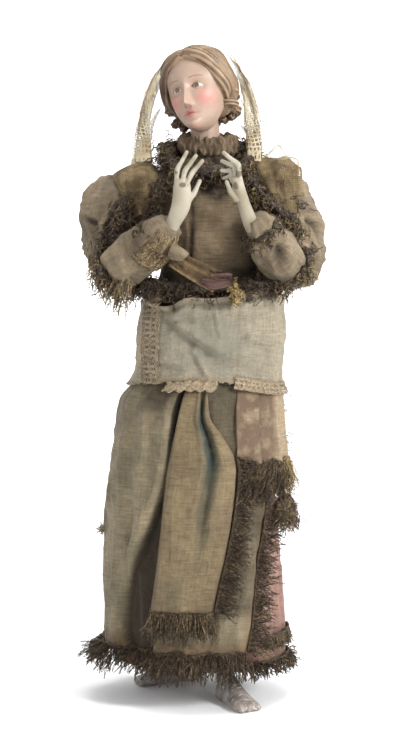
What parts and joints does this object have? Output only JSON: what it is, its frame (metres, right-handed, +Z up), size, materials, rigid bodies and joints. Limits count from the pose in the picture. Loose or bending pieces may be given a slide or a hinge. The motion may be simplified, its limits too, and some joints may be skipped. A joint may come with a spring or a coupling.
{
  "type": "dressed crib figure of a veiled woman",
  "caption": "Standing veiled woman with a painted head, raised hands and layered skirts of old silk, linen, net and metal-thread fringe.",
  "frame": {"origin": "on the ground under the middle of the figure", "axes": "+Z up, the figure faces -Y, its own right arm is towards -X"},
  "size_m": [0.1484, 0.1168, 0.3975],
  "materials": {
    "painted_skin": "painted terracotta, softly polished, with glass eyes and painted hair",
    "carved_wood": "carved and painted pale, worn brown in spots",
    "beige_silk": "faded grey-beige silk with a fine rib, stained",
    "pink_silk": "faded dusty pink silk",
    "linen": "plain woven linen with lace edges, creased",
    "gauze": "open brown-gold gauze",
    "veil_net": "sheer cream net",
    "gold_fringe": "tarnished metal-thread loops, dark brown to old gold",
    "ribbon_silk": "faded rose ribbon"
  },
  "bodies": {
    "root": {"head": "painted_skin", "right_hand": "carved_wood", "left_hand": "carved_wood", "left_foot": "carved_wood", "right_foot": "carved_wood", "petticoat": "pink_silk", "overskirt": "beige_silk", "front_panel": "beige_silk", "hip_tier": "beige_silk", "waist_wrap": "linen", "bodice": "beige_silk", "right_sleeve": "beige_silk", "left_sleeve": "beige_silk", "right_forearm_sleeve": "beige_silk", "left_forearm_sleeve": "beige_silk", "front_panel_hem_fringe": "gold_fringe", "front_panel_side_fringe": "gold_fringe", "overskirt_hem_fringe": "gold_fringe", "overskirt_edge_fringe": "gold_fringe", "petticoat_upper_fringe": "gold_fringe", "petticoat_hem_fringe": "gold_fringe", "hip_upper_fringe": "gold_fringe", "hip_lower_fringe": "gold_fringe", "neck_ruff": "gauze", "fringe_collar": "gold_fringe", "right_chest_fringe": "gold_fringe", "left_chest_fringe": "gold_fringe", "right_cuff_fringe": "gold_fringe", "left_cuff_fringe": "gold_fringe", "right_elbow_fringe": "gold_fringe", "left_elbow_fringe": "gold_fringe", "waist_fringe": "gold_fringe", "sash": "gauze", "ribbon": "ribbon_silk", "gold_knot": "gold_fringe", "right_shawl": "gauze", "left_shawl": "gauze", "veil": "veil_net"}
  },
  "joints": []
}
